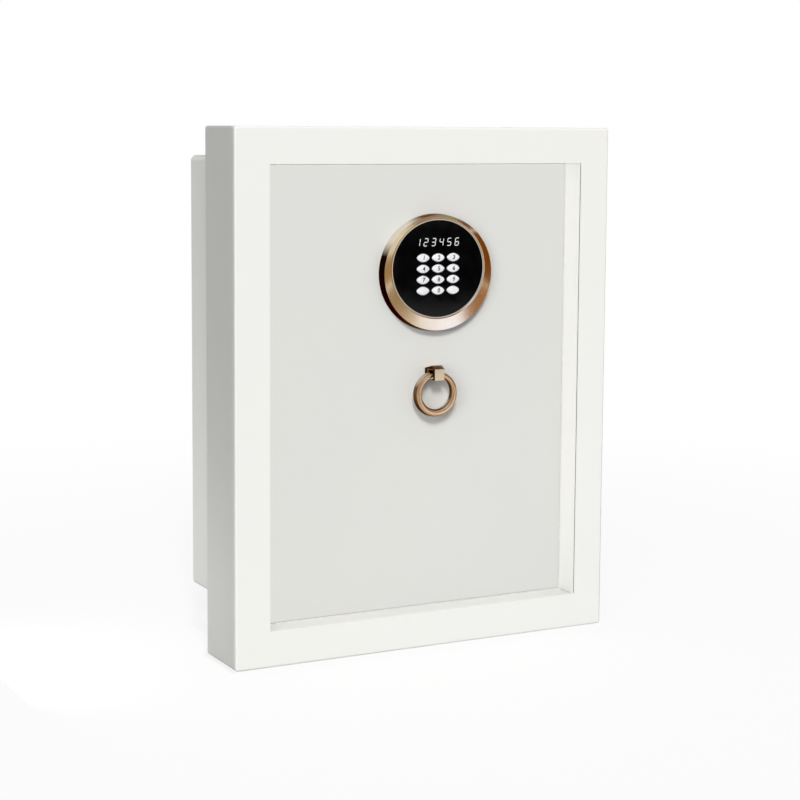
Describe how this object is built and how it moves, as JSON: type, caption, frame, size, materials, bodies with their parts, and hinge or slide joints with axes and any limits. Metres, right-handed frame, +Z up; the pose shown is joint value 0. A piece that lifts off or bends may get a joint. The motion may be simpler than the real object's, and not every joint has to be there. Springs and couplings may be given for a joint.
{
  "type": "hotel safe",
  "caption": "Recessed wall safe: white steel surround frame, set-back door with round keypad and ring pull, motor bolt work, and a shallow body behind the wall",
  "frame": {"origin": "on the wall plane, in the middle of the surround frame's rear flange below the body", "axes": "+X right as one faces the door, +Y into the wall, +Z up"},
  "size_m": [0.36, 0.16, 0.45],
  "materials": {
    "white_paint": "smooth white powder coat, satin",
    "door_paint": "warm light grey powder coat, satin",
    "body_paint": "light grey powder coat, satin",
    "rose_gold": "polished rose gold plating",
    "pale_gold": "bright pale gold plating",
    "black_glass": "deep black, high gloss",
    "key_white": "white, soft gloss",
    "rubber": "black, matte",
    "felt": "dark grey needle felt",
    "zinc": "zinc plated",
    "bright_steel": "ground bright steel",
    "brass": "turned brass",
    "board_green": "green solder mask",
    "black_plastic": "moulded black, fine grain",
    "grey_plastic": "grey ribbon insulation",
    "cell_wrap": "plain dark shrink wrap",
    "red_plastic": "moulded red"
  },
  "bodies": {
    "surround": {"surround_frame": "white_paint", "strike_jamb": "white_paint", "stop_frame": "body_paint", "body_shell": "body_paint", "back_panel": "body_paint", "floor_mat": "felt", "hinge_bush_top": "brass", "hinge_bush_bottom": "brass", "door_buffer_top": "rubber", "door_buffer_bottom": "rubber"},
    "door": {"door_plate": "door_paint", "hinge_pin_top": "bright_steel", "hinge_pin_bottom": "bright_steel", "keypad_bezel": "rose_gold", "keypad_trim_ring": "pale_gold", "keypad_lens": "black_glass", "display_module": "black_plastic", "keypad_membrane": "rubber", "keypad_board": "board_green", "keypad_screw_left": "zinc", "keypad_screw_right": "zinc", "ring_bracket": "rose_gold", "bracket_screw": "zinc", "lock_chassis": "zinc", "gearbox": "black_plastic", "drive_motor": "zinc", "control_board": "board_green", "keypad_cable": "grey_plastic", "battery_tray": "black_plastic", "battery_1": "cell_wrap", "battery_2": "cell_wrap", "battery_3": "cell_wrap", "battery_4": "cell_wrap", "inner_cover": "body_paint", "cover_screw_left_bottom": "zinc", "cover_screw_left_top": "zinc", "cover_screw_right_bottom": "zinc", "cover_screw_right_top": "zinc"},
    "bolt_work": {"bolt_top": "bright_steel", "bolt_bottom": "bright_steel", "bolt_bar": "zinc", "bolt_rack": "bright_steel"},
    "pinion": {"drive_pinion": "brass"},
    "ring": {"pull_ring": "rose_gold"},
    "key_1": {"key_1": "key_white"},
    "key_2": {"key_2": "key_white"},
    "key_3": {"key_3": "key_white"},
    "key_4": {"key_4": "key_white"},
    "key_5": {"key_5": "key_white"},
    "key_6": {"key_6": "key_white"},
    "key_7": {"key_7": "key_white"},
    "key_8": {"key_8": "key_white"},
    "key_9": {"key_9": "key_white"},
    "key_left": {"key_left": "key_white"},
    "key_0": {"key_0": "key_white"},
    "key_right": {"key_right": "key_white"},
    "lid": {"battery_lid": "black_plastic"},
    "reset": {"reset_button": "red_plastic"}
  },
  "joints": [
    {"name": "door_swing", "type": "hinge", "parent": "surround", "child": "door", "pos_m": [-0.139, -0.0385, 0.207], "axis": [0, 0, -1], "range_deg": [0, 100]},
    {"name": "ring_swing", "type": "hinge", "parent": "door", "child": "ring", "pos_m": [0.0114, -0.0525, 0.2198], "axis": [-1, 0, 0], "range_deg": [-11, 95]},
    {"name": "key_1_press", "type": "slide", "parent": "door", "child": "key_1", "axis": [0, 1, 0], "range_m": [0, 0.001], "stiffness_N_per_m": 800},
    {"name": "key_2_press", "type": "slide", "parent": "door", "child": "key_2", "axis": [0, 1, 0], "range_m": [0, 0.001], "stiffness_N_per_m": 800},
    {"name": "key_3_press", "type": "slide", "parent": "door", "child": "key_3", "axis": [0, 1, 0], "range_m": [0, 0.001], "stiffness_N_per_m": 800},
    {"name": "key_4_press", "type": "slide", "parent": "door", "child": "key_4", "axis": [0, 1, 0], "range_m": [0, 0.001], "stiffness_N_per_m": 800},
    {"name": "key_5_press", "type": "slide", "parent": "door", "child": "key_5", "axis": [0, 1, 0], "range_m": [0, 0.001], "stiffness_N_per_m": 800},
    {"name": "key_6_press", "type": "slide", "parent": "door", "child": "key_6", "axis": [0, 1, 0], "range_m": [0, 0.001], "stiffness_N_per_m": 800},
    {"name": "key_7_press", "type": "slide", "parent": "door", "child": "key_7", "axis": [0, 1, 0], "range_m": [0, 0.001], "stiffness_N_per_m": 800},
    {"name": "key_8_press", "type": "slide", "parent": "door", "child": "key_8", "axis": [0, 1, 0], "range_m": [0, 0.001], "stiffness_N_per_m": 800},
    {"name": "key_9_press", "type": "slide", "parent": "door", "child": "key_9", "axis": [0, 1, 0], "range_m": [0, 0.001], "stiffness_N_per_m": 800},
    {"name": "key_left_press", "type": "slide", "parent": "door", "child": "key_left", "axis": [0, 1, 0], "range_m": [0, 0.001], "stiffness_N_per_m": 800},
    {"name": "key_0_press", "type": "slide", "parent": "door", "child": "key_0", "axis": [0, 1, 0], "range_m": [0, 0.001], "stiffness_N_per_m": 800},
    {"name": "key_right_press", "type": "slide", "parent": "door", "child": "key_right", "axis": [0, 1, 0], "range_m": [0, 0.001], "stiffness_N_per_m": 800},
    {"name": "bolt_throw", "type": "slide", "parent": "door", "child": "bolt_work", "axis": [1, 0, 0], "range_m": [0, 0.013]},
    {"name": "pinion_spin", "type": "hinge", "parent": "door", "child": "pinion", "pos_m": [0.0548, -0.00951, 0.214], "axis": [0, -1, 0], "range_deg": [0, 107]},
    {"name": "lid_swing", "type": "hinge", "parent": "door", "child": "lid", "pos_m": [-0.08175, 0.0071, 0.074], "axis": [-1, 0, 0], "range_deg": [0, 110]},
    {"name": "reset_press", "type": "slide", "parent": "door", "child": "reset", "axis": [0, -1, 0], "range_m": [0, 0.002], "stiffness_N_per_m": 500}
  ],
  "couplings": [
    {"joint": "pinion_spin", "follows": "bolt_throw", "rad_per_m": 142.86}
  ]
}
